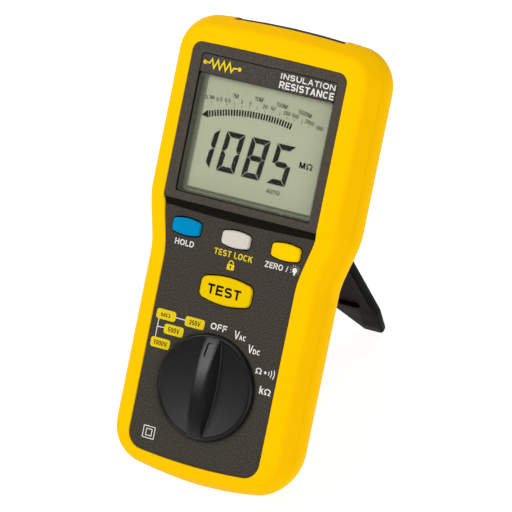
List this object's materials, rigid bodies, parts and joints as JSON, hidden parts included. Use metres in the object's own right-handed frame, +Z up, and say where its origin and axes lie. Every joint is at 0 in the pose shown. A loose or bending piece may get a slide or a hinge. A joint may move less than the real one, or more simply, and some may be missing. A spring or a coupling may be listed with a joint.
{
  "type": "insulation resistance tester",
  "caption": "Handheld insulation resistance tester with a waisted yellow case, large display, rotary range selector, push buttons, input sockets and a fold-out stand.",
  "frame": {"origin": "centre of the bounding box at the surface the tester stands on, with the stand open", "axes": "+Z up, -Y towards the user that the face leans back from, +X to the right of the face; the face leans back 40.9 degrees from the horizontal plane of the table"},
  "size_m": [0.106, 0.1806, 0.1675],
  "materials": {
    "yellow_shell": "satin moulded plastic",
    "dark_panel": "fine grain",
    "window": "clear",
    "lcd": "reflective display film",
    "white_plastic": "moulded",
    "black_rubber": "matt",
    "circuit_board": "solder mask",
    "steel": "plated",
    "black_plastic": "moulded",
    "gold_contact": "plated",
    "winding_tape": "tape wound",
    "capacitor_sleeve": "sleeved",
    "fuse_ceramic": "ceramic tube",
    "battery_jacket": "printed jacket over a steel can",
    "knob_plastic": "fine grain",
    "blue_key": "smooth",
    "white_key": "smooth",
    "yellow_key": "smooth",
    "stand_plastic": "fine grain"
  },
  "bodies": {
    "case": {"front_shell": "yellow_shell", "rear_shell": "yellow_shell", "case_seal": "black_rubber", "keypad_panel": "dark_panel", "display_bezel": "dark_panel", "display_window": "window", "lcd_glass": "lcd", "lcd_backlight": "white_plastic", "lcd_connector_strips": "black_rubber", "main_board": "circuit_board", "measuring_board": "circuit_board", "board_spacers": "steel", "button_switches": "black_plastic", "switch_contact_ring": "gold_contact", "detent_spring": "steel", "terminal_panel": "dark_panel", "input_sockets": "gold_contact", "hv_transformer": "winding_tape", "hv_capacitors": "capacitor_sleeve", "relay": "white_plastic", "fuse": "fuse_ceramic", "fuse_clips": "steel", "buzzer": "black_plastic", "battery_holder": "black_plastic", "battery_cells": "battery_jacket", "battery_contacts": "steel", "case_screws": "steel", "stand_hinge_pin": "steel"},
    "selector": {"selector_knob": "knob_plastic", "selector_shaft": "steel", "switch_rotor": "white_plastic", "wiper_contacts": "gold_contact"},
    "hold_key": {"hold_button": "blue_key"},
    "lock_key": {"lock_button": "white_key"},
    "zero_key": {"zero_button": "yellow_key"},
    "test_key": {"test_button": "yellow_key"},
    "cover": {"battery_cover": "yellow_shell", "battery_cover_screw": "steel"},
    "stand": {"tilt_stand": "stand_plastic", "stand_foot_pads": "black_rubber"}
  },
  "joints": [
    {"name": "selector_turn", "type": "hinge", "parent": "case", "child": "selector", "pos_m": [0, -0.06054, 0.06475], "axis": [0, -0.6552, 0.7554], "range_deg": [-80, 60]},
    {"name": "hold_press", "type": "slide", "parent": "case", "child": "hold_key", "axis": [0, 0.6552, -0.7554], "range_m": [0, 0.001], "stiffness_N_per_m": 800, "springref_m": -0.001},
    {"name": "lock_press", "type": "slide", "parent": "case", "child": "lock_key", "axis": [0, 0.6552, -0.7554], "range_m": [0, 0.001], "stiffness_N_per_m": 800, "springref_m": -0.001},
    {"name": "zero_press", "type": "slide", "parent": "case", "child": "zero_key", "axis": [0, 0.6552, -0.7554], "range_m": [0, 0.001], "stiffness_N_per_m": 800, "springref_m": -0.001},
    {"name": "test_press", "type": "slide", "parent": "case", "child": "test_key", "axis": [0, 0.6552, -0.7554], "range_m": [0, 0.001], "stiffness_N_per_m": 800, "springref_m": -0.001},
    {"name": "cover_lift", "type": "slide", "parent": "case", "child": "cover", "axis": [0, 0.6552, -0.7554], "range_m": [0, 0.008]},
    {"name": "stand_fold", "type": "hinge", "parent": "case", "child": "stand", "pos_m": [0, 0.02288, 0.0696], "axis": [1, 0, 0], "range_deg": [-60, 0]}
  ]
}
